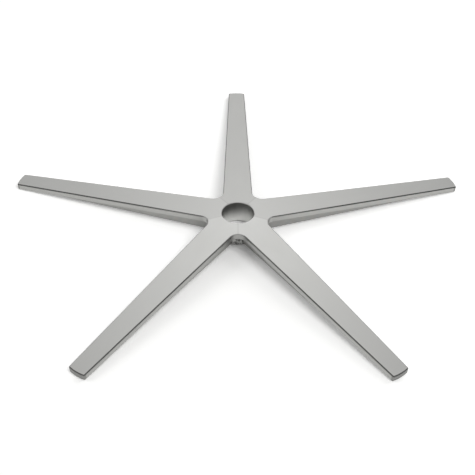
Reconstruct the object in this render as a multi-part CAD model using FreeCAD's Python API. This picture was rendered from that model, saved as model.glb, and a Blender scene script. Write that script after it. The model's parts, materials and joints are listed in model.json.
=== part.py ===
import FreeCAD, Part
import math
import os

# A five-legged chair base, cast in one piece: a star of sloping legs round a tapered column socket.
# One leg is modelled along +X with its share of the hub, then patterned about the socket's axis.
# The leg's top slab is drawn flat, square to its own top face, and then tilted to the leg's slope.
# Millimetres and degrees. The socket's axis is Z, and the glide pads stand on Z = 0.

# Star in plan
leg_count = 5
first_leg_angle = 90.0
leg_reach = 365.0
leg_tip_width = 27.5
leg_side_taper = 1.63
crotch_radius = 14.5
tip_crown = 1.5
tip_corner_radius = 2.2

# Top slab with its rim band
top_slope = 4.49
rim_height = 9.7
rim_wall = 3.5
top_skin = 4.0
top_edge_radius = 1.6
rim_foot_chamfer = 0.5

# Hub and the tapered socket that takes the column's foot
hub_radius = 34.0
hub_floor_gap = 1.2
hub_foot_chamfer = 1.5
socket_mouth_radius = 24.3
socket_cone_ratio = 20.0
socket_land = 8.0
socket_mouth_chamfer = 0.9
socket_foot_chamfer = 1.0

# Keel under each leg: two deep walls tied by cross ribs
keel_width = 23.0
keel_wall = 3.5
keel_floor_gap = 2.9
keel_foot_radius = 1.0
rib_count = 5
rib_foot_thickness = 2.4
rib_setback = 3.0
casting_draft = 1.5
channel_corner_radius = 2.5
channel_roof_chamfer = 1.5
slit_end_width = 2.6

# Glide seats under the tips
tip_block_length = 33.0
glide_setback = 20.0
glide_pad_radius = 10.0
glide_pad_proud = 0.8
glide_hole_radius = 4.1
glide_hole_depth = 7.5
drill_point_angle = 118.0

# Derived values
sector = 360.0 / leg_count
half_sector = math.radians(sector / 2)
tilt_angle = math.radians(top_slope)
slope = math.tan(tilt_angle)
side_taper = math.radians(leg_side_taper)
draft = math.tan(math.radians(casting_draft))
flat_reach = leg_reach / math.cos(tilt_angle)
flat_half_sector = math.atan(math.tan(half_sector) * math.cos(tilt_angle))
apex_height = glide_pad_proud + leg_reach * slope + rim_height * math.cos(tilt_angle)
keel_half = keel_width / 2
channel_end = leg_reach - tip_block_length
glide_x = leg_reach - glide_setback
overrun = rim_height
touch = 1e-4

ORIGIN = FreeCAD.Vector(0, 0, 0)
ALONG = FreeCAD.Vector(1, 0, 0)
ACROSS = FreeCAD.Vector(0, 1, 0)
UP = FreeCAD.Vector(0, 0, 1)


def height_under_top(x, depth):
    """Height of a point along the leg that lies a depth under the top, square to it."""
    return apex_height - x * slope - depth / math.cos(tilt_angle)


def tilted(shape):
    """A shape drawn flat, with the leg's top at zero, set on the leg's slope."""
    shape.rotate(ORIGIN, ACROSS, top_slope)
    shape.translate(UP * apex_height)
    return shape


def polar(radius, angle, centre=ORIGIN):
    """Point in plan at a radius and an angle in radians from a centre."""
    return centre + FreeCAD.Vector(radius * math.cos(angle), radius * math.sin(angle), 0)


def mirrored(point):
    """The same point on the leg's other side."""
    return FreeCAD.Vector(point.x, -point.y, point.z)


def line(start, end):
    """Straight edge between two points."""
    return Part.LineSegment(start, end).toShape()


def arc(start, middle, end):
    """Circular edge through three points."""
    return Part.Arc(start, middle, end).toShape()


def prism(edges, low, high):
    """Upright solid on a closed outline in plan."""
    face = Part.Face(Part.Wire(edges))
    face.translate(UP * low)
    return face.extrude(UP * (high - low))


def side_prism(points, half_span):
    """Solid across the leg from an outline of (along, height) pairs."""
    corners = [FreeCAD.Vector(x, -half_span, z) for x, z in points]
    face = Part.Face(Part.makePolygon(corners + corners[:1]))
    return face.extrude(ACROSS * (2 * half_span))


def turned(points, start_angle, sweep):
    """Solid of revolution about the socket's axis from an outline of (radius, height) pairs."""
    corners = [FreeCAD.Vector(radius, 0, z) for radius, z in points]
    face = Part.Face(Part.makePolygon(corners + corners[:1]))
    face.rotate(ORIGIN, UP, start_angle)
    return face.revolve(ORIGIN, UP, sweep)


def middle_of(edge):
    """Point half-way along an edge."""
    first, last = edge.ParameterRange
    return edge.valueAt((first + last) / 2)


def is_steep(edge):
    """Whether an edge starts out nearer to upright than to level."""
    direction = edge.tangentAt(edge.FirstParameter)
    return abs(direction.z) > math.hypot(direction.x, direction.y)


def lies_under_top(edge, depth):
    """Whether an edge lies in the plane a depth under the leg's top."""
    middle = middle_of(edge)
    return abs(middle.z - height_under_top(middle.x, depth)) < touch


class LegSide:
    """The left side of the flat leg and the round corner that joins it to the next leg."""

    def __init__(self, inset):
        """Sets out the side's face, or one that lies an inset inside it."""
        self.inset = inset / math.cos(side_taper)
        corner_x = self.outer(0) / (math.tan(flat_half_sector) + math.tan(side_taper))
        to_centre = crotch_radius / math.sin(flat_half_sector + side_taper)
        centre = polar(corner_x / math.cos(flat_half_sector) + to_centre, flat_half_sector)
        radius = crotch_radius + inset
        past_apex = flat_half_sector + math.pi - overrun / radius / 2
        square = 3 * math.pi / 2 - side_taper
        self.start = polar(radius, past_apex, centre)
        self.middle = polar(radius, (past_apex + square) / 2, centre)
        self.tangent = polar(radius, square, centre)

    def outer(self, x):
        """Half of the leg's full width at a distance along it."""
        return leg_tip_width / 2 + (flat_reach - x) * math.tan(side_taper)

    def at(self, x):
        """Point on this face at a distance along the leg."""
        return FreeCAD.Vector(x, self.outer(x) - self.inset, 0)


def flat_slab():
    """The leg's slab drawn flat: tapered sides, a bowed end, and rounded edges above and below."""
    side = LegSide(0)
    tip = side.at(flat_reach)
    crown = FreeCAD.Vector(flat_reach + tip_crown, 0, 0)
    back = FreeCAD.Vector(-hub_radius, 0, 0)
    outline = [
        line(back, side.start),
        arc(side.start, side.middle, side.tangent),
        line(side.tangent, tip),
        arc(tip, crown, mirrored(tip)),
        line(mirrored(tip), mirrored(side.tangent)),
        arc(mirrored(side.tangent), mirrored(side.middle), mirrored(side.start)),
        line(mirrored(side.start), back),
    ]
    slab = prism(outline, -rim_height, 0)
    upright = [edge for edge in slab.Edges if is_steep(edge)]
    tip_corners = [edge for edge in upright if middle_of(edge).x > tip.x - touch]
    slab = slab.makeFillet(tip_corner_radius, tip_corners)
    slab = slab.makeFillet(top_edge_radius, outline_edges(slab, 0, side))
    return slab.makeChamfer(rim_foot_chamfer, outline_edges(slab, -rim_height, side))


def outline_edges(slab, level, side):
    """Edges of the flat slab at a level, from one round corner round the tip to the other."""
    edges = [edge for edge in slab.Edges if abs(middle_of(edge).z - level) < touch]
    return [edge for edge in edges if middle_of(edge).x > side.start.x]


def flat_slit():
    """The narrow hollow under the slab between the keel and the rim's wall, on the leg's left side."""
    wall = LegSide(rim_wall)
    keel_root = FreeCAD.Vector(keel_half / math.tan(flat_half_sector), keel_half, 0)
    half_width = keel_half + slit_end_width + wall.inset
    end_x = flat_reach - (half_width - leg_tip_width / 2) / math.tan(side_taper)
    keel_end = FreeCAD.Vector(end_x, keel_half, 0)
    wall_end = wall.at(end_x)
    round_end = (keel_end + wall_end) / 2 + FreeCAD.Vector(slit_end_width / 2, 0, 0)
    outline = [
        line(keel_root, keel_end),
        arc(keel_end, round_end, wall_end),
        line(wall_end, wall.tangent),
        arc(wall.tangent, wall.middle, wall.start),
        line(wall.start, keel_root),
    ]
    return prism(outline, -rim_height - overrun, -top_skin)


def sector_wedge():
    """Upright wedge between the two planes that part this leg from its neighbours."""
    far = 2 * leg_reach
    corner = FreeCAD.Vector(far, far * math.tan(half_sector), 0)
    edges = [line(ORIGIN, corner), line(corner, mirrored(corner)), line(mirrored(corner), ORIGIN)]
    return prism(edges, -overrun, apex_height + overrun)


def leg_slab():
    """The leg's slab on its slope, hollowed beside the keel and parted from its neighbours."""
    left = flat_slit()
    right = left.mirror(ORIGIN, ACROSS)
    return tilted(flat_slab().cut([left, right])).common(sector_wedge())


def hub_slice():
    """This leg's share of the hub, before the socket is cut."""
    high = height_under_top(hub_radius, top_skin / 2)
    outline = [
        (0, hub_floor_gap),
        (hub_radius - hub_foot_chamfer, hub_floor_gap),
        (hub_radius, hub_floor_gap + hub_foot_chamfer),
        (hub_radius, high),
        (0, high),
    ]
    return turned(outline, -sector / 2, sector)


def keel():
    """The deep beam under the leg, level at its foot, which runs out where the rim comes down to it."""
    run_out = (height_under_top(0, rim_height) - keel_floor_gap) / slope
    inside = rim_height / 2
    outline = [
        (0, keel_floor_gap),
        (run_out, keel_floor_gap),
        (run_out, height_under_top(run_out, inside)),
        (0, height_under_top(0, inside)),
    ]
    solid = side_prism(outline, keel_half)
    level = [edge for edge in solid.Edges if abs(middle_of(edge).z - keel_floor_gap) < touch]
    feet = [edge for edge in level if abs(middle_of(edge).y) > keel_half - touch]
    return solid.makeFillet(keel_foot_radius, feet).common(sector_wedge())


def channel():
    """The hollow between the keel's walls: drafted, rounded, with a roof along the leg's slope."""
    half = keel_half - keel_wall
    inset = (apex_height - keel_floor_gap) * draft
    block = Part.makeWedge(
        hub_radius, keel_floor_gap, -half, inset - half, hub_radius + inset,
        channel_end, apex_height, half, half - inset, channel_end - inset,
    )
    block.rotate(ORIGIN, ALONG, 90)
    far = 2 * leg_reach
    over = Part.makeBox(far, far, far, FreeCAD.Vector(-leg_reach, -leg_reach, -top_skin))
    hollow = block.cut(tilted(over))
    corners = [edge for edge in hollow.Edges if is_steep(edge)]
    hollow = hollow.makeFillet(channel_corner_radius, corners)
    roof = [edge for edge in hollow.Edges if lies_under_top(edge, top_skin)]
    return hollow.makeChamfer(channel_roof_chamfer, roof)


def ribs():
    """Drafted cross ribs in the channel, set back from its mouth and spaced evenly."""
    pitch = (channel_end - hub_radius) / (rib_count + 1)
    low = keel_floor_gap + rib_setback
    half_foot = rib_foot_thickness / 2
    solids = []
    for number in range(rib_count):
        x = hub_radius + pitch * (number + 1)
        high = height_under_top(x, top_skin / 2)
        half_root = half_foot + (high - low) * draft
        outline = [(x - half_foot, low), (x + half_foot, low), (x + half_root, high), (x - half_root, high)]
        solids.append(side_prism(outline, keel_half - keel_wall / 2))
    return solids


def glide_pad():
    """Round pad under the tip that a glide seats on."""
    inside = height_under_top(glide_x, rim_height / 2)
    return Part.makeCylinder(glide_pad_radius, inside, polar(glide_x, 0))


def glide_hole():
    """Blind hole up into the tip, with a drilled point."""
    mouth = polar(glide_x, 0)
    point = glide_hole_radius / math.tan(math.radians(drill_point_angle / 2))
    hole = Part.makeCylinder(glide_hole_radius, glide_hole_depth, mouth)
    cone = Part.makeCone(glide_hole_radius, 0, point, mouth + UP * glide_hole_depth)
    return hole.fuse(cone)


def socket_slice():
    """This leg's share of the column socket: a cone down to a parallel land, chamfered at both ends."""
    mouth = height_under_top(socket_mouth_radius, 0)
    land_top = hub_floor_gap + socket_land
    lip = mouth - socket_mouth_chamfer
    land_radius = socket_mouth_radius - (lip - land_top) / (2 * socket_cone_ratio)
    rise = socket_mouth_chamfer + overrun
    outline = [
        (0, hub_floor_gap),
        (land_radius + socket_foot_chamfer, hub_floor_gap),
        (land_radius, hub_floor_gap + socket_foot_chamfer),
        (land_radius, land_top),
        (socket_mouth_radius, lip),
        (socket_mouth_radius + rise, lip + rise),
        (0, lip + rise),
    ]
    return turned(outline, -sector, 2 * sector)


def leg():
    """One leg with its share of the hub."""
    solid = leg_slab().multiFuse([hub_slice(), keel(), glide_pad()])
    solid = solid.cut(channel()).multiFuse(ribs())
    return solid.cut([glide_hole(), socket_slice()]).removeSplitter()


def star():
    """The whole casting: the leg patterned about the socket's axis."""
    one = leg()
    legs = []
    for number in range(leg_count):
        copy = one.copy()
        copy.rotate(ORIGIN, UP, first_leg_angle + number * sector)
        legs.append(copy)
    return legs[0].multiFuse(legs[1:]).removeSplitter()


os.makedirs("parts", exist_ok=True)
star_base = star()
star_base.exportStep("parts/star_base.step")
print("valid:", star_base.isValid(), "solids:", len(star_base.Solids), "mm3:", round(star_base.Volume))
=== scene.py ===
"""Looks of a satin-polished, five-legged chair base that stands on a white studio floor.

The casting itself comes from the frame and keeps its shape. This script dresses it in a finish that tells
the polished skin, the turned socket, the faced pads and the raw cast underside apart, cuts the threads of
the glide seats, and sets up the floor, the light and the camera. Lengths are in metres, and angles are in
degrees where nothing else is said.
"""
from __future__ import annotations

import json
import logging
import math
from dataclasses import dataclass, field
from enum import Enum
from typing import Any, Iterator, Mapping, Optional, Sequence, Union

import bmesh
import bpy
from mathutils import Matrix, Vector


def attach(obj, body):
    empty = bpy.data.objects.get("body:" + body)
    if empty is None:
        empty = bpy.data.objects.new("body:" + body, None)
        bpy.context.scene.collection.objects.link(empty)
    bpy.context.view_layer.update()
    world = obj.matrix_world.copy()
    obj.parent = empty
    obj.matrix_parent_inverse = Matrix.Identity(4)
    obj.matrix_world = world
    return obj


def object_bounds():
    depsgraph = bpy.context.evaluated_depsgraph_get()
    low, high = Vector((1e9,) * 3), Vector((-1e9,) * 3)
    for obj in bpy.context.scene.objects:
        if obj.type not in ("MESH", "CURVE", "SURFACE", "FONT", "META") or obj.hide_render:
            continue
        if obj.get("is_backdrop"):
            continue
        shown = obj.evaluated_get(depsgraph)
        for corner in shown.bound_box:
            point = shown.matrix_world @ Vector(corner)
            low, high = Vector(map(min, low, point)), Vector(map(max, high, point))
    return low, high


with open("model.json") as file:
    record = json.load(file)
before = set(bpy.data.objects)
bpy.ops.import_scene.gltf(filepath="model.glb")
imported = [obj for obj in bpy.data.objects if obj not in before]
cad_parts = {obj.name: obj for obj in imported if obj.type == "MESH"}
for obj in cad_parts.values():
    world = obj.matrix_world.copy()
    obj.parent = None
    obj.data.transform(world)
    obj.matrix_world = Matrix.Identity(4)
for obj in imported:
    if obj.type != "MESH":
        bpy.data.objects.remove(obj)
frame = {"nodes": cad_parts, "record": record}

LOG = logging.getLogger("star_base")
BODY = "root"
NODE = "star_base"
MILLIMETRES_PER_METRE = 1000
RIGHT_ANGLE = 90.0
MATRIX_SIZE = 4
NOISE_MIDDLE = 0.5

Colour = tuple[float, float, float, float]
Span = tuple[float, float]
Triple = tuple[float, float, float]

BLACK: Colour = (0.0, 0.0, 0.0, 1.0)
WHITE: Colour = (1.0, 1.0, 1.0, 1.0)


class Op(Enum):
    """Sums that a Math node can do."""

    ADD = "ADD"
    SUBTRACT = "SUBTRACT"
    MULTIPLY = "MULTIPLY"
    DIVIDE = "DIVIDE"
    LESS = "LESS_THAN"
    GREATER = "GREATER_THAN"
    LARGER_OF = "MAXIMUM"
    SMALLER_OF = "MINIMUM"
    ROOT = "SQRT"
    SIZE = "ABSOLUTE"
    SINE = "SINE"
    COSINE = "COSINE"
    BEARING = "ARCTAN2"
    WRAP = "WRAP"


class VectorOp(Enum):
    """Measures that a Vector Math node can take."""

    LENGTH = "LENGTH"
    DOT = "DOT_PRODUCT"


class Mixing(Enum):
    """Ways in which a Mix node joins two colours."""

    BLEND = "MIX"
    TINT = "MULTIPLY"


class Ray(Enum):
    """Questions about a ray that a Light Path node answers."""

    CAMERA = "Is Camera Ray"
    GLOSSY = "Is Glossy Ray"
    TRANSMISSION = "Is Transmission Ray"


class Signal:
    """A value that flows out of a shader node, with the arithmetic that the finishes use."""

    def __init__(self, graph: "Graph", socket: bpy.types.NodeSocket) -> None:
        """Wraps one output socket of a node in a graph."""
        self.graph = graph
        self.socket = socket

    def __add__(self, other: "Term") -> "Signal":
        """This plus another."""
        return self.graph.sum(Op.ADD, self, other)

    def __radd__(self, other: "Term") -> "Signal":
        """Another plus this."""
        return self.graph.sum(Op.ADD, other, self)

    def __sub__(self, other: "Term") -> "Signal":
        """This less another."""
        return self.graph.sum(Op.SUBTRACT, self, other)

    def __rsub__(self, other: "Term") -> "Signal":
        """Another less this."""
        return self.graph.sum(Op.SUBTRACT, other, self)

    def __mul__(self, other: "Term") -> "Signal":
        """This times another."""
        return self.graph.sum(Op.MULTIPLY, self, other)

    def __rmul__(self, other: "Term") -> "Signal":
        """Another times this."""
        return self.graph.sum(Op.MULTIPLY, other, self)

    def __truediv__(self, other: "Term") -> "Signal":
        """This over another."""
        return self.graph.sum(Op.DIVIDE, self, other)

    def __rtruediv__(self, other: "Term") -> "Signal":
        """Another over this."""
        return self.graph.sum(Op.DIVIDE, other, self)

    def __lt__(self, other: "Term") -> "Signal":
        """One where this is below another, else nought."""
        return self.graph.sum(Op.LESS, self, other)

    def __gt__(self, other: "Term") -> "Signal":
        """One where this is above another, else nought."""
        return self.graph.sum(Op.GREATER, self, other)

    def __or__(self, other: "Term") -> "Signal":
        """The larger of two masks."""
        return self.graph.sum(Op.LARGER_OF, self, other)

    def __ror__(self, other: "Term") -> "Signal":
        """The larger of two masks."""
        return self.graph.sum(Op.LARGER_OF, other, self)

    def __and__(self, other: "Term") -> "Signal":
        """The smaller of two masks."""
        return self.graph.sum(Op.SMALLER_OF, self, other)

    def __rand__(self, other: "Term") -> "Signal":
        """The smaller of two masks."""
        return self.graph.sum(Op.SMALLER_OF, other, self)

    def __abs__(self) -> "Signal":
        """This without its sign."""
        return self.graph.sum(Op.SIZE, self)


Term = Union[Signal, float, int]
Feed = Union[Signal, float, int, Sequence[float]]
Feeds = Mapping[Union[str, int], Feed]


class Graph:
    """A node tree under construction."""

    def __init__(self, tree: bpy.types.NodeTree) -> None:
        """Empties a material's or a world's node tree and starts on it."""
        tree.nodes.clear()
        self.tree = tree

    def node(
        self, kind: str, settings: Optional[Mapping[str, Any]] = None, inputs: Optional[Feeds] = None
    ) -> bpy.types.Node:
        """Adds one node.

        Args:
            kind: The node's type name.
            settings: Properties of the node, set before its sockets.
            inputs: Values or signals for its sockets, by name or number.

        Returns:
            The new node.
        """
        made = self.tree.nodes.new(kind)
        for name, value in (settings or {}).items():
            setattr(made, name, value)
        for name, value in (inputs or {}).items():
            socket = made.inputs[name]
            if isinstance(value, Signal):
                self.tree.links.new(value.socket, socket)
            else:
                socket.default_value = value
        return made

    def signal(
        self,
        kind: str,
        settings: Optional[Mapping[str, Any]] = None,
        inputs: Optional[Feeds] = None,
        output: Union[str, int] = 0,
    ) -> Signal:
        """Adds one node and gives one of its outputs."""
        return Signal(self, self.node(kind, settings, inputs).outputs[output])

    def sum(self, op: Op, *terms: Term) -> Signal:
        """A sum of values, taken in order."""
        return self.signal("ShaderNodeMath", {"operation": op.value}, dict(enumerate(terms)))

    def measure(self, op: VectorOp, *vectors: Feed) -> Signal:
        """A value measured on vectors, taken in order."""
        settings = {"operation": op.value}
        return self.signal("ShaderNodeVectorMath", settings, dict(enumerate(vectors)), "Value")

    def vector(self, x: Term, y: Term, z: Term) -> Signal:
        """A vector made of three values."""
        return self.signal("ShaderNodeCombineXYZ", None, {0: x, 1: y, 2: z})

    def parts(self, vector: Signal) -> tuple[Signal, Signal, Signal]:
        """The three values that a vector is made of."""
        node = self.node("ShaderNodeSeparateXYZ", None, {0: vector})
        return Signal(self, node.outputs[0]), Signal(self, node.outputs[1]), Signal(self, node.outputs[2])

    def rise(self, value: Signal, span: Span) -> Signal:
        """A soft step.

        Args:
            value: What is measured.
            span: Where the step starts at nought and where it reaches one, which may lie below the start.

        Returns:
            A mask from nought to one.
        """
        start, end = span
        settings = {"interpolation_type": "SMOOTHSTEP", "clamp": True}
        inputs = {"Value": value, "From Min": start, "From Max": end, "To Min": 0.0, "To Max": 1.0}
        return self.signal("ShaderNodeMapRange", settings, inputs)

    def blend(self, mask: Feed, first: Feed, second: Feed, mixing: Mixing = Mixing.BLEND) -> Signal:
        """A colour between two.

        Args:
            mask: Nought for the first colour, one for the second or for the full tint.
            first: One colour.
            second: The other colour.
            mixing: How the second colour acts on the first.

        Returns:
            The mixed colour.
        """
        # A Mix node has its colours on these inputs and this output, after those for values and vectors.
        first_colour, second_colour, mixed_colour = 6, 7, 2
        settings = {"data_type": "RGBA", "blend_type": mixing.value}
        inputs = {"Factor": mask, first_colour: first, second_colour: second}
        return self.signal("ShaderNodeMix", settings, inputs, mixed_colour)

    def shade(self, mask: Signal, first: Signal, second: Signal) -> Signal:
        """A shader between two, by a mask."""
        return self.signal("ShaderNodeMixShader", None, {0: mask, 1: first, 2: second})

    def glow(self, level: float) -> Signal:
        """A neutral background of one level."""
        return self.signal("ShaderNodeBackground", None, {"Color": WHITE, "Strength": level})

    def path(self, ray: Ray) -> Signal:
        """One for a ray of the kind asked about, else nought."""
        return self.signal("ShaderNodeLightPath", None, None, ray.value)

    def noise(self, place: Signal, layers: float) -> Signal:
        """Soft noise with some finer layers, read at a place in units of its grain."""
        inputs = {"Vector": place, "Scale": 1.0, "Detail": layers}
        return self.signal("ShaderNodeTexNoise", {"noise_dimensions": "3D"}, inputs)


@dataclass(frozen=True)
class StarForm:
    """Sizes of the casting that its finish follows."""

    leg_count: int = 5
    first_leg_angle: float = 90.0
    leg_reach: float = 0.365
    tip_half_width: float = 0.01375
    side_taper: float = 1.63
    apex_height: float = 0.03913
    top_slope: float = 4.49
    rim_height: float = 0.0097
    top_edge: float = 0.0017
    hub_radius: float = 0.034
    socket_mouth: float = 0.0244
    glide_setback: float = 0.020

    @property
    def sector(self) -> float:
        """Angle from one leg to the next, in radians."""
        return 2 * math.pi / self.leg_count

    @property
    def glide_reach(self) -> float:
        """Distance from the socket's axis to a glide's axis."""
        return self.leg_reach - self.glide_setback

    def leg_angles(self) -> Iterator[float]:
        """Bearing of each leg, in radians."""
        for number in range(self.leg_count):
            yield math.radians(self.first_leg_angle) + number * self.sector


class LegPlace:
    """Where a point of the surface lies on its own leg, and how far it is from that leg's landmarks."""

    def __init__(self, graph: Graph, form: StarForm) -> None:
        """Works out the leg's coordinates for a shader.

        Args:
            graph: The graph to work in.
            form: The casting's sizes.
        """
        self.graph = graph
        self.form = form
        coordinates = graph.node("ShaderNodeTexCoord")
        x, y, z = graph.parts(Signal(graph, coordinates.outputs["Object"]))
        self.upward = graph.parts(Signal(graph, coordinates.outputs["Normal"]))[2]
        self.height = z
        self.radius = graph.sum(Op.ROOT, x * x + y * y)
        turn = graph.sum(Op.BEARING, y, x) - math.radians(form.first_leg_angle)
        bearing = graph.sum(Op.WRAP, turn, form.sector / 2, -form.sector / 2)
        self.along = self.radius * graph.sum(Op.COSINE, bearing)
        self.across = self.radius * graph.sum(Op.SINE, bearing)
        self.from_ridge = self.radius * graph.sum(Op.SINE, form.sector / 2 - abs(bearing))
        beyond = self.along - form.glide_reach
        self.from_glide = graph.sum(Op.ROOT, beyond * beyond + self.across * self.across)
        tilt = math.radians(form.top_slope)
        self.depth = (form.apex_height - self.along * math.tan(tilt) - z) * math.cos(tilt)

    def scaled(self, along: float, across: float, depth: float) -> Signal:
        """The place on the leg in units of a grain that has three lengths."""
        return self.graph.vector(self.along / along, self.across / across, self.depth / depth)


@dataclass(frozen=True)
class Zones:
    """Masks of the surfaces that are finished in different ways, and of the top edges and ridges, where a
    dark reflection and shade are painted.
    """

    edge: Signal
    ridge: Signal
    raw: Signal
    pad: Signal
    turned: Signal


@dataclass(frozen=True)
class Marks:
    """Noises for the traces that tools and mould leave on the metal, and for the painted glints of
    reflection on the hub tube.
    """

    streaks: Signal
    mottle: Signal
    grain: Signal
    painted_glints: Signal
    rings: Signal


@dataclass(frozen=True)
class SatinAluminium:
    """Satin-polished cast aluminium, with turned seats and a raw cast skin where no one polishes."""

    name: str = "satin_aluminium"

    # Colours
    polished: Colour = (0.520, 0.520, 0.506, 1.0)
    # Painted reflection: the dark line along the rounded top edges.
    dark_edge_reflection: Colour = (0.130, 0.130, 0.127, 1.0)
    # Painted shade on the steep walls and on the leg ends.
    painted_wall_shade: Colour = (0.440, 0.440, 0.427, 1.0)
    painted_end_shade: Colour = (0.250, 0.250, 0.243, 1.0)
    # Painted shade on the hub tube, with light flecks of painted reflection.
    painted_tube_shade: Colour = (0.160, 0.160, 0.155, 1.0)
    painted_tube_glint: Colour = (0.540, 0.540, 0.525, 1.0)
    raw: Colour = (0.400, 0.400, 0.388, 1.0)
    turned: Colour = (0.860, 0.860, 0.840, 1.0)
    # Painted shade that darkens the socket towards its mouth.
    painted_socket_shade: Colour = (0.190, 0.190, 0.185, 1.0)
    faced: Colour = (0.740, 0.740, 0.723, 1.0)
    feed_mark: Colour = (0.560, 0.560, 0.547, 1.0)
    mottle_dark: Colour = (0.965, 0.965, 0.965, 1.0)
    mottle_light: Colour = (1.035, 1.035, 1.035, 1.0)
    ridge_shade: float = 0.09

    # Roughness of each zone, and how far the marks sway it
    polished_roughness: float = 0.34
    edge_roughness: float = 0.22
    raw_roughness: float = 0.52
    turned_roughness: float = 0.30
    streak_sway: float = 0.10
    mottle_sway: float = 0.08
    ring_sway: float = 0.10

    # Grain of the marks and their finer layers, and how deep each kind is as a share of the relief
    streak_length: float = 0.018
    streak_width: float = 0.0005
    streak_layers: float = 2.0
    mottle_length: float = 0.055
    mottle_width: float = 0.022
    mottle_layers: float = 3.0
    cast_grain: float = 0.0011
    cast_layers: float = 2.0
    glint_grain: float = 0.004
    glint_layers: float = 1.0
    glint_contrast: Span = (0.40, 0.60)
    turning_feed: float = 0.0004
    turning_layers: float = 1.0
    relief: float = 0.000010
    streak_depth: float = 0.25
    grain_depth: float = 2.0
    ring_depth: float = 0.6

    # Where one zone passes into the next, by the upward part of the surface's normal
    wall_shade_lean: Span = (0.5, 0.2)
    edge_lean: Span = (0.985, 0.94)
    ridge_lean: Span = (0.98, 0.99)

    # Reach of the painted dark reflection along the top edge, and how much of it is left in the crotches
    # and near the hub
    edge_fade: float = 0.0005
    clear_of_socket: float = 0.003
    crotch_fade: Span = (0.005, 0.013)
    crotch_share: float = 0.3
    hub_fade: Span = (0.03, 0.08)
    hub_share: float = 0.8

    # Where the other zones pass into the next, by a distance
    ridge_line: Span = (0.0016, 0.0006)
    end_shade_span: Span = (0.0042, 0.0028)
    tube_skin: Span = (0.003, 0.001)
    rim_foot: Span = (-0.0001, 0.0004)
    socket_shade_rise: Span = (0.005, 0.033)
    skin_at_side: float = 0.0015
    skin_at_end: float = 0.003
    skin_at_top: float = 0.0025
    pad_skin: float = 0.0002

    def material(self, form: StarForm) -> bpy.types.Material:
        """Makes the material for the whole casting.

        Args:
            form: The casting's sizes, by which the finish tells its zones apart.

        Returns:
            The material.
        """
        made = bpy.data.materials.new(self.name)
        made.use_nodes = True
        graph = Graph(made.node_tree)
        place = LegPlace(graph, form)
        zones = self.zones(place)
        marks = self.marks(place, zones.pad)
        inputs = {
            "Base Color": self.colour(place, zones, marks),
            "Metallic": 1.0,
            "Roughness": self.roughness(zones, marks),
            "Normal": self.bump(graph, zones, marks),
        }
        skin = graph.signal("ShaderNodeBsdfPrincipled", {"distribution": "MULTI_GGX"}, inputs)
        graph.node("ShaderNodeOutputMaterial", None, {"Surface": skin})
        return made

    def zones(self, place: LegPlace) -> Zones:
        """Tells the casting's surfaces apart.

        Args:
            place: The leg's coordinates.

        Returns:
            The masks of the zones.
        """
        graph = place.graph
        ridge = graph.rise(place.from_ridge, self.ridge_line) & graph.rise(place.upward, self.ridge_lean)
        pad = place.height < self.pad_skin
        turned = (place.radius < place.form.socket_mouth) | pad
        return Zones(self.edge_zone(place), ridge, self.raw_zone(place), pad, turned)

    def edge_zone(self, place: LegPlace) -> Signal:
        """Masks the rounded top edge, where a dark reflection is painted, less of it near the hub and in
        the crotches.

        Args:
            place: The leg's coordinates.

        Returns:
            The mask.
        """
        graph = place.graph
        form = place.form
        outside = place.radius > form.socket_mouth + self.clear_of_socket
        near_top = graph.rise(place.depth, (form.top_edge + self.edge_fade, form.top_edge))
        band = graph.rise(place.upward, self.edge_lean) & near_top & outside
        past_crotch = graph.rise(place.from_ridge, self.crotch_fade)
        past_hub = graph.rise(place.from_ridge, self.hub_fade)
        reached = self.crotch_share + (1 - self.crotch_share) * past_crotch
        return band * reached * (self.hub_share + (1 - self.hub_share) * past_hub)

    def raw_zone(self, place: LegPlace) -> Signal:
        """Masks what lies under the rim and inside the casting's hollows.

        Args:
            place: The leg's coordinates.

        Returns:
            The mask.
        """
        form = place.form
        taper = math.tan(math.radians(form.side_taper))
        half_width = form.tip_half_width + (form.leg_reach - place.along) * taper
        inside = abs(place.across) < half_width - self.skin_at_side
        short_of_end = place.along < form.leg_reach - self.skin_at_end
        hollow = inside & short_of_end & (place.depth > self.skin_at_top)
        foot = (form.rim_height + self.rim_foot[0], form.rim_height + self.rim_foot[1])
        return place.graph.rise(place.depth, foot) | hollow

    def marks(self, place: LegPlace, pad: Signal) -> Marks:
        """Lays out brushing, hand polishing, cast pebbles, painted glints of reflection and turning.

        Args:
            place: The leg's coordinates.
            pad: The mask of the glide pads, where the tool turned about the glide's axis.

        Returns:
            The noises.
        """
        graph = place.graph
        streaks = place.scaled(self.streak_length, self.streak_width, self.streak_width)
        mottle = place.scaled(self.mottle_length, self.mottle_width, self.mottle_width)
        grain = place.scaled(self.cast_grain, self.cast_grain, self.cast_grain)
        painted_glints = place.scaled(self.glint_grain, self.glint_grain, self.glint_grain)
        feed = place.height + pad * place.from_glide
        rings = graph.vector(0.0, 0.0, feed / self.turning_feed)
        return Marks(
            streaks=graph.noise(streaks, self.streak_layers),
            mottle=graph.noise(mottle, self.mottle_layers),
            grain=graph.noise(grain, self.cast_layers),
            painted_glints=graph.rise(graph.noise(painted_glints, self.glint_layers), self.glint_contrast),
            rings=graph.noise(rings, self.turning_layers),
        )

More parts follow.
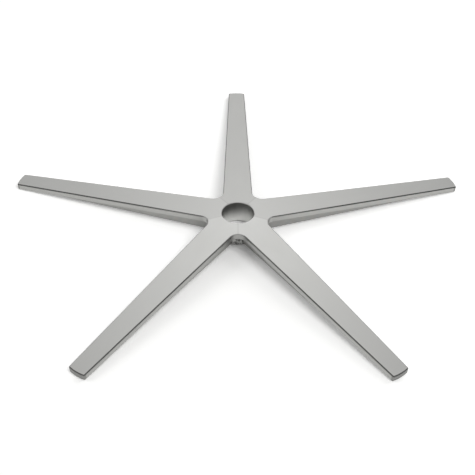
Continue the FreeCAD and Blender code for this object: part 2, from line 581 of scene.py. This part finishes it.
    def colour(self, place: LegPlace, zones: Zones, marks: Marks) -> Signal:
        """Colours the zones, one over another.

        Args:
            place: The leg's coordinates.
            zones: The masks of the zones.
            marks: The noises.

        Returns:
            The metal's colour.
        """
        graph = place.graph
        form = place.form
        # Painted shade: the steep walls and the leg ends are darker than the polished tops.
        end_shade_reach = (form.leg_reach - self.end_shade_span[0], form.leg_reach - self.end_shade_span[1])
        shaded_flank = graph.blend(graph.rise(place.along, end_shade_reach), self.painted_wall_shade, self.painted_end_shade)
        colour = graph.blend(graph.rise(place.upward, self.wall_shade_lean), self.polished, shaded_flank)
        # Painted reflection: a dark line along the top edges.
        colour = graph.blend(zones.edge, colour, self.dark_edge_reflection)
        colour = graph.blend(zones.ridge * self.ridge_shade, colour, BLACK)
        # Painted shade and painted reflections: the hub tube is dark, with light flecks.
        on_tube = (form.hub_radius + self.tube_skin[0], form.hub_radius + self.tube_skin[1])
        painted_tube = graph.blend(marks.painted_glints, self.painted_tube_shade, self.painted_tube_glint)
        cast = graph.blend(graph.rise(place.radius, on_tube), self.raw, painted_tube)
        colour = graph.blend(zones.raw, colour, cast)
        # Painted shade: the socket goes from bright turned metal at its foot to dark at its mouth.
        socket = graph.blend(graph.rise(place.height, self.socket_shade_rise), self.turned, self.painted_socket_shade)
        face = graph.blend(marks.rings, self.feed_mark, self.faced)
        colour = graph.blend(zones.turned, colour, graph.blend(zones.pad, socket, face))
        unevenness = graph.blend(marks.mottle, self.mottle_dark, self.mottle_light)
        return graph.blend(1.0, colour, unevenness, Mixing.TINT)

    def roughness(self, zones: Zones, marks: Marks) -> Signal:
        """Makes each zone as satin or as dull as its finish.

        Args:
            zones: The masks of the zones.
            marks: The noises.

        Returns:
            The metal's roughness.
        """
        brushed = (marks.streaks - NOISE_MIDDLE) * self.streak_sway
        uneven = (marks.mottle - NOISE_MIDDLE) * self.mottle_sway
        rough = self.polished_roughness + brushed + uneven
        rough = rough + zones.edge * (self.edge_roughness - self.polished_roughness)
        rough = rough + zones.raw * (self.raw_roughness - rough)
        cut = self.turned_roughness + (marks.rings - NOISE_MIDDLE) * self.ring_sway
        return rough + zones.turned * (cut - rough)

    def bump(self, graph: Graph, zones: Zones, marks: Marks) -> Signal:
        """Raises the marks a little.

        Args:
            graph: The graph to work in.
            zones: The masks of the zones.
            marks: The noises.

        Returns:
            The bumped normal.
        """
        brushed = marks.streaks * self.streak_depth * (1 - zones.raw) * (1 - zones.turned)
        pebbled = marks.grain * self.grain_depth * zones.raw
        grooved = marks.rings * self.ring_depth * zones.turned
        inputs = {"Strength": 1.0, "Distance": self.relief, "Height": brushed + pebbled + grooved}
        return graph.signal("ShaderNodeBump", None, inputs)


@dataclass
class GlideThread:
    """The screw thread inside each glide seat."""

    form: StarForm
    hole_radius: float
    crest_radius: float = 0.00332
    pitch: float = 0.00125
    start: float = 0.0007
    turns: float = 4.8
    steps_per_turn: int = 48
    run_out_turns: float = 0.4
    run_out_share: float = 0.02
    root_share: float = 0.44
    crest_share: float = 0.11

    def build(self) -> list[bpy.types.Object]:
        """Makes one thread for each leg, in its place."""
        return [self.cut(number, angle) for number, angle in enumerate(self.form.leg_angles(), 1)]

    def cut(self, number: int, angle: float) -> bpy.types.Object:
        """Makes the thread of one seat.

        Args:
            number: The leg's number, for the name.
            angle: The leg's bearing in radians.

        Returns:
            The thread object.
        """
        mesh = bmesh.new()
        rings = [self.ring(mesh, step) for step in range(round(self.turns * self.steps_per_turn) + 1)]
        for near, far in zip(rings, rings[1:]):
            for corner, first in enumerate(near):
                after = (corner + 1) % len(near)
                mesh.faces.new((first, near[after], far[after], far[corner]))
        mesh.faces.new(rings[0][::-1])
        mesh.faces.new(rings[-1])
        bmesh.ops.recalc_face_normals(mesh, faces=mesh.faces)
        axis = Vector((math.cos(angle), math.sin(angle), 0.0)) * self.form.glide_reach
        mesh.transform(Matrix.Translation(axis))
        return placed_mesh(f"glide_thread_{number}", mesh)

    def ring(self, mesh: bmesh.types.BMesh, step: int) -> list[bmesh.types.BMVert]:
        """Adds the ridge's section at one step of its helix.

        Args:
            mesh: The mesh to add to.
            step: The step along the helix.

        Returns:
            The section's corners, in order round it.
        """
        turn = step / self.steps_per_turn
        angle = 2 * math.pi * turn
        height = self.start + (self.root_share + turn) * self.pitch
        full = min(1.0, turn / self.run_out_turns, (self.turns - turn) / self.run_out_turns)
        share = max(full, self.run_out_share)
        crest = self.hole_radius + (self.crest_radius - self.hole_radius) * share
        section = (
            (self.hole_radius, -self.root_share * share),
            (crest, -self.crest_share * share),
            (crest, self.crest_share * share),
            (self.hole_radius, self.root_share * share),
        )
        corners = []
        for radius, lift in section:
            point = (radius * math.cos(angle), radius * math.sin(angle), height + lift * self.pitch)
            corners.append(mesh.verts.new(point))
        return corners


@dataclass
class StarBase:
    """The casting with its finish and its cut threads."""

    node: bpy.types.Object
    form: StarForm
    finish: SatinAluminium
    glide_hole_radius: float

    def dress(self) -> None:
        """Puts the finish on the casting and cuts the threads."""
        material = self.finish.material(self.form)
        self.node.material_slots[0].material = material
        LOG.info("%s wears %s", self.node.name, material.name)
        for thread in GlideThread(self.form, self.glide_hole_radius).build():
            thread.data.materials.append(material)
            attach(thread, BODY)
            LOG.info("%s has %d faces", thread.name, len(thread.data.polygons))


@dataclass(frozen=True)
class FloorFinish:
    """Matt white studio paper, lifted more behind the two front legs, that fades to plain white far off."""

    name: str = "white_floor"
    colour: Colour = (0.95, 0.95, 0.94, 1.0)
    lift_in_socket: float = 0.05
    lift_in_front: float = 0.11
    lift_behind: float = 0.27
    socket_fade: float = 0.004
    behind_span: Span = (-0.012, 0.012)
    white_span: Span = (0.42, 1.00)

    def material(self, form: StarForm) -> bpy.types.Material:
        """Makes the floor's material, which is lifted towards white where it is seen or mirrored.

        Args:
            form: The sizes of the casting that stands on the floor.

        Returns:
            The material.
        """
        made = bpy.data.materials.new(self.name)
        made.use_nodes = True
        graph = Graph(made.node_tree)
        place = graph.signal("ShaderNodeTexCoord", None, None, "Object")
        radius = graph.measure(VectorOp.LENGTH, place)
        paper = graph.signal("ShaderNodeBsdfDiffuse", None, {"Color": self.colour})
        front = self.raised(graph, paper, self.lift_in_front)
        back = self.raised(graph, paper, self.lift_behind)
        inner = self.raised(graph, paper, self.lift_in_socket)
        x, y, _ = graph.parts(place)
        past_front_leg = abs(x) * math.cos(form.sector / 2) + y * math.sin(form.sector / 2)
        behind = graph.rise(past_front_leg, self.behind_span) & graph.path(Ray.CAMERA)
        lifted = graph.shade(behind, front, back)
        past_socket = graph.rise(radius, (form.hub_radius - self.socket_fade, form.hub_radius))
        lifted = graph.shade(past_socket, inner, lifted)
        lifted = graph.shade(graph.rise(radius, self.white_span), lifted, self.white(graph, 1.0))
        seen = graph.path(Ray.CAMERA) | graph.path(Ray.GLOSSY) | graph.path(Ray.TRANSMISSION)
        graph.node("ShaderNodeOutputMaterial", None, {"Surface": graph.shade(seen, paper, lifted)})
        return made

    def white(self, graph: Graph, level: float) -> Signal:
        """Plain white light of one level."""
        return graph.signal("ShaderNodeEmission", None, {"Color": WHITE, "Strength": level})

    def raised(self, graph: Graph, paper: Signal, level: float) -> Signal:
        """The paper with a little white light added."""
        return graph.signal("ShaderNodeAddShader", None, {0: paper, 1: self.white(graph, level)})


@dataclass(frozen=True)
class SoftBox:
    """A large soft lamp, some way off, that lights the floor and is not mirrored in the metal."""

    name: str
    bearing: float
    elevation: float
    radiance: float
    distance: float = 4.75
    size: float = 2.5

    def build(self) -> bpy.types.Object:
        """Hangs the lamp, turned towards the object.

        Returns:
            The lamp object.
        """
        lamp = bpy.data.lights.new(self.name, "AREA")
        lamp.shape = "SQUARE"
        lamp.size = self.size
        lamp.energy = self.radiance * math.pi * self.size ** 2
        holder = bpy.data.objects.new(self.name, lamp)
        around = rotation(self.bearing + RIGHT_ANGLE, "Z")
        down = rotation(RIGHT_ANGLE - self.elevation, "X")
        holder.matrix_world = around @ down @ Matrix.Translation((0.0, 0.0, self.distance))
        holder.visible_glossy = False
        holder.visible_camera = False
        bpy.context.scene.collection.objects.link(holder)
        return holder


@dataclass(frozen=True)
class Sky:
    """The pale studio that the metal mirrors, with a soft bright patch high up behind."""

    name: str = "studio"
    ambient: float = 0.36
    near: float = 0.64
    far: float = 0.72
    sides: float = 0.53
    horizon: float = 0.95
    patch: float = 1.95
    patch_direction: Triple = (0.019, 0.707, 0.707)
    patch_half_angle: float = 15.0
    behind_span: Span = (-0.45, 0.35)
    side_span: Span = (0.0, 0.7)
    horizon_span: Span = (0.5, 0.0)

    def build(self) -> None:
        """Makes the scene's world, white to the camera and even to the floor."""
        world = bpy.data.worlds.new(self.name)
        world.use_nodes = True
        # A world that is sampled like a lamp would not tell glossy rays from the others.
        world.cycles.sampling_method = "NONE"
        bpy.context.scene.world = world
        graph = Graph(world.node_tree)
        direction = graph.signal("ShaderNodeTexCoord", None, None, "Generated")
        x, y, z = graph.parts(direction)
        facing = graph.measure(VectorOp.DOT, direction, self.patch_direction)
        patch_span = (math.cos(math.radians(self.patch_half_angle)), 1.0)

        mirrored = graph.glow(self.far)
        mirrored = graph.shade(graph.rise(abs(x), self.side_span), mirrored, graph.glow(self.sides))
        mirrored = graph.shade(graph.rise(z, self.horizon_span), mirrored, graph.glow(self.horizon))
        mirrored = graph.shade(graph.rise(y, self.behind_span), graph.glow(self.near), mirrored)
        mirrored = graph.shade(graph.rise(facing, patch_span), mirrored, graph.glow(self.patch))
        light = graph.shade(graph.path(Ray.GLOSSY), graph.glow(self.ambient), mirrored)
        light = graph.shade(graph.path(Ray.CAMERA), light, graph.glow(1.0))
        graph.node("ShaderNodeOutputWorld", None, {"Surface": light})


@dataclass
class Studio:
    """White floor, soft lamps and the surroundings."""

    form: StarForm
    floor_height: float
    floor_half: float = 6.0
    finish: FloorFinish = field(default_factory=FloorFinish)
    sky: Sky = field(default_factory=Sky)
    lamps: tuple[SoftBox, ...] = (
        SoftBox("right_box", bearing=25.0, elevation=37.0, radiance=2.4),
        SoftBox("left_box", bearing=180.0, elevation=35.0, radiance=2.8),
        SoftBox("front_box", bearing=312.5, elevation=56.0, radiance=5.4),
    )

    def build(self) -> None:
        """Lays the floor, hangs the lamps and fills the surroundings."""
        self.lay_floor()
        for lamp in self.lamps:
            lamp.build()
            LOG.info("%s hangs at bearing %.0f", lamp.name, lamp.bearing)
        self.sky.build()

    def lay_floor(self) -> None:
        """Lays one large white sheet under the object."""
        half = self.floor_half
        outline = ((-half, -half), (half, -half), (half, half), (-half, half))
        mesh = bmesh.new()
        mesh.faces.new([mesh.verts.new((x, y, self.floor_height)) for x, y in outline])
        floor = placed_mesh("studio_floor", mesh)
        floor.data.materials.append(self.finish.material(self.form))
        floor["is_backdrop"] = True
        LOG.info("%s reaches %.1f m", floor.name, half)


@dataclass(frozen=True)
class PhotoCamera:
    """The camera that looks down on the star from the front."""

    name: str = "photo_camera"
    aim: Triple = (0.0, 0.0, -0.01274)
    distance: float = 1.63275
    pitch: float = 41.2037
    roll: float = 0.9573
    turn: float = -0.9650
    lens: float = 80.149
    sensor: float = 36.0

    def build(self) -> bpy.types.Object:
        """Sets up the camera and makes it the scene's own.

        Returns:
            The camera object.
        """
        data = bpy.data.cameras.new(self.name)
        data.lens = self.lens
        data.sensor_width = self.sensor
        camera = bpy.data.objects.new(data.name, data)
        around = rotation(self.turn, "Z")
        down = rotation(RIGHT_ANGLE - self.pitch, "X")
        tip = rotation(self.roll, "Z")
        back = Matrix.Translation((0.0, 0.0, self.distance))
        camera.matrix_world = Matrix.Translation(self.aim) @ around @ down @ back @ tip
        bpy.context.scene.collection.objects.link(camera)
        bpy.context.scene.camera = camera
        return camera


def rotation(angle: float, axis: str) -> Matrix:
    """A turn about one of the frame's axes."""
    return Matrix.Rotation(math.radians(angle), MATRIX_SIZE, axis)


def placed_mesh(name: str, mesh: bmesh.types.BMesh) -> bpy.types.Object:
    """Turns a finished mesh into an object of the scene.

    Args:
        name: The object's name.
        mesh: The mesh, which is freed.

    Returns:
        The object.
    """
    data = bpy.data.meshes.new(name)
    mesh.to_mesh(data)
    mesh.free()
    placed = bpy.data.objects.new(name, data)
    bpy.context.scene.collection.objects.link(placed)
    return placed


def mount_size(name: str, size: str) -> float:
    """A size of one of the record's mounts, in metres."""
    mount = next(row for row in frame["record"]["mounts"] if row["name"] == name)
    return mount["dims"][size] / MILLIMETRES_PER_METRE


def main() -> None:
    """Dresses the base and sets up the studio and the camera."""
    logging.basicConfig(level=logging.INFO, format="%(name)s: %(message)s")
    cad_low, cad_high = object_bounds()
    form = StarForm()
    hole_radius = mount_size("glide_sockets", "hole_r_mm")
    StarBase(frame["nodes"][NODE], form, SatinAluminium(), hole_radius).dress()
    Studio(form, floor_height=cad_low.z).build()
    PhotoCamera().build()
    bpy.context.scene.view_settings.view_transform = "Standard"


if __name__ == "__main__":
    main()
